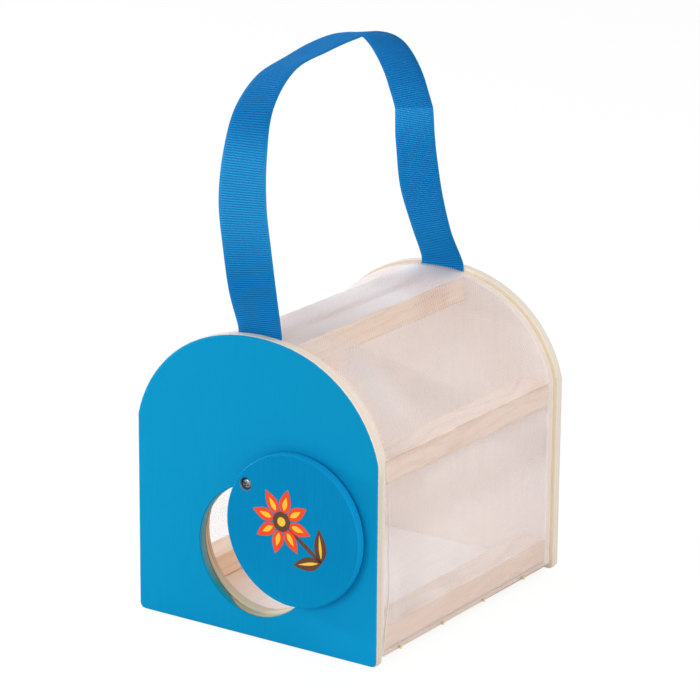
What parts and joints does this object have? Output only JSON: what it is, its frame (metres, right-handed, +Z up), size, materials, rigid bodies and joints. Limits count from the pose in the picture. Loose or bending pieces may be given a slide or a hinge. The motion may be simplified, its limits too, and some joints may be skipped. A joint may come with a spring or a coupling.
{
  "type": "insect cage",
  "caption": "Small arched wooden insect cage with netting over rails, a round door disc that swings on a screw over a hole in the front panel, and a ribbon carrying handle.",
  "frame": {"origin": "middle of the footprint of the whole object, ribbon and door included, at the level of the surface it stands on", "axes": "+Z up, +X across the cage to the right as seen from the front, +Y from the blue front panel to the rear panel"},
  "size_m": [0.14, 0.1794, 0.2845],
  "materials": {
    "blue_painted_ply": "satin blue paint on plywood, edges of the panel bare",
    "natural_ply": "pale bare plywood, sanded",
    "pine": "bare planed softwood",
    "netting": "fine white polyester netting, stretched",
    "ribbon": "blue grosgrain ribbon with fine cross ribs",
    "steel": "bright zinc-plated steel",
    "brass": "plain brass"
  },
  "bodies": {
    "cage": {"front_panel": "blue_painted_ply", "front_inner_board": "natural_ply", "rear_inner_board": "natural_ply", "rear_panel": "natural_ply", "floor_board": "natural_ply", "upper_rail_left": "pine", "upper_rail_right": "pine", "shoulder_rail_left": "pine", "shoulder_rail_right": "pine", "bottom_rail_left": "pine", "bottom_rail_right": "pine", "top_net": "netting", "roof_net_left": "netting", "roof_net_right": "netting", "wall_net_left": "netting", "wall_net_right": "netting", "ribbon_handle": "ribbon", "pivot_screw": "steel", "upper_rail_nail_left_front": "steel", "upper_rail_nail_left_rear": "steel", "upper_rail_nail_right_front": "steel", "upper_rail_nail_right_rear": "steel", "shoulder_rail_nail_left_front": "steel", "shoulder_rail_nail_left_rear": "steel", "shoulder_rail_nail_right_front": "steel", "shoulder_rail_nail_right_rear": "steel", "bottom_rail_nail_left_front": "steel", "bottom_rail_nail_left_rear": "steel", "bottom_rail_nail_right_front": "steel", "bottom_rail_nail_right_rear": "steel", "hem_pin_left_1": "brass", "hem_pin_left_2": "brass", "hem_pin_left_3": "brass", "hem_pin_left_4": "brass", "hem_pin_right_1": "brass", "hem_pin_right_2": "brass", "hem_pin_right_3": "brass", "hem_pin_right_4": "brass"},
    "door": {"door_disc": "blue_painted_ply"}
  },
  "joints": [
    {"name": "door_swing", "type": "hinge", "parent": "cage", "child": "door", "pos_m": [-0.0015, -0.0788, 0.0798], "axis": [0, 1, 0], "continuous": true}
  ]
}
